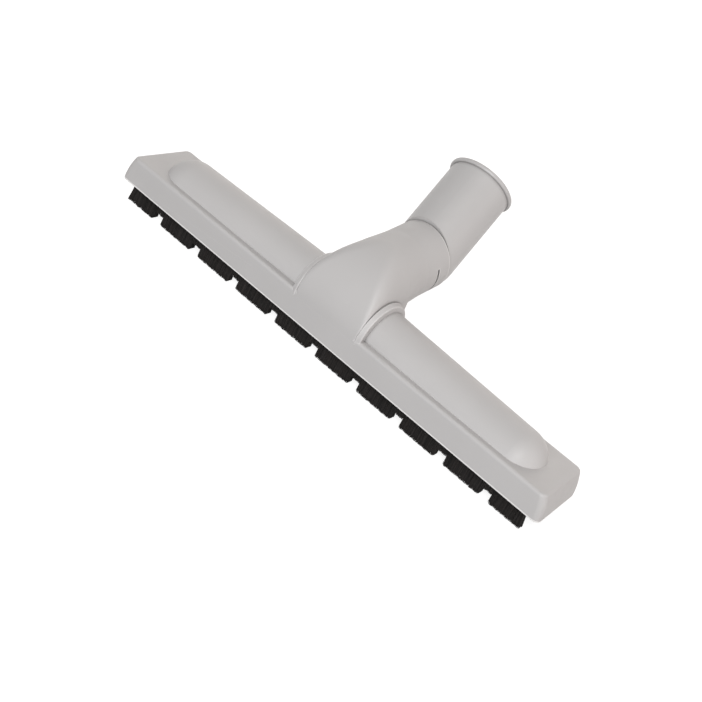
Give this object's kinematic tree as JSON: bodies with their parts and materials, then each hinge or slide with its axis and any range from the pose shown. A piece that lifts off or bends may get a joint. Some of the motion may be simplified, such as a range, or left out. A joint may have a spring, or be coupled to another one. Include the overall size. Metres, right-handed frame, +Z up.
{
  "type": "vacuum floor brush head",
  "caption": "Long low floor brush head with half-round air channels, a central hood, a swivel wand elbow and notched bristle strips, for sweeping up dust from hard floors.",
  "frame": {"origin": "under the middle of the whole box, on the floor at the bristle tips", "axes": "+X along the head, +Y from the front edge back to the wand, +Z up"},
  "size_m": [0.3012, 0.1274, 0.0977],
  "materials": {
    "housing_plastic": "satin moulded light grey",
    "elbow_plastic": "satin moulded light grey",
    "base_plastic": "plain moulded grey",
    "steel": "zinc plated",
    "clip_steel": "dark spring steel",
    "bristle": "black bristle"
  },
  "bodies": {
    "head": {"housing": "housing_plastic", "base_plate": "base_plastic", "base_screws": "steel", "retaining_clip": "clip_steel", "front_strip_channel": "steel", "front_core_wire": "steel", "front_bristles": "bristle", "rear_strip_channel": "steel", "rear_core_wire": "steel", "rear_bristles": "bristle"},
    "elbow": {"swivel_elbow": "elbow_plastic"}
  },
  "joints": [
    {"name": "elbow_swivel", "type": "hinge", "parent": "head", "child": "elbow", "pos_m": [0, 0.00786, 0.04845], "axis": [0, 0.9877, 0.1564], "continuous": true}
  ]
}
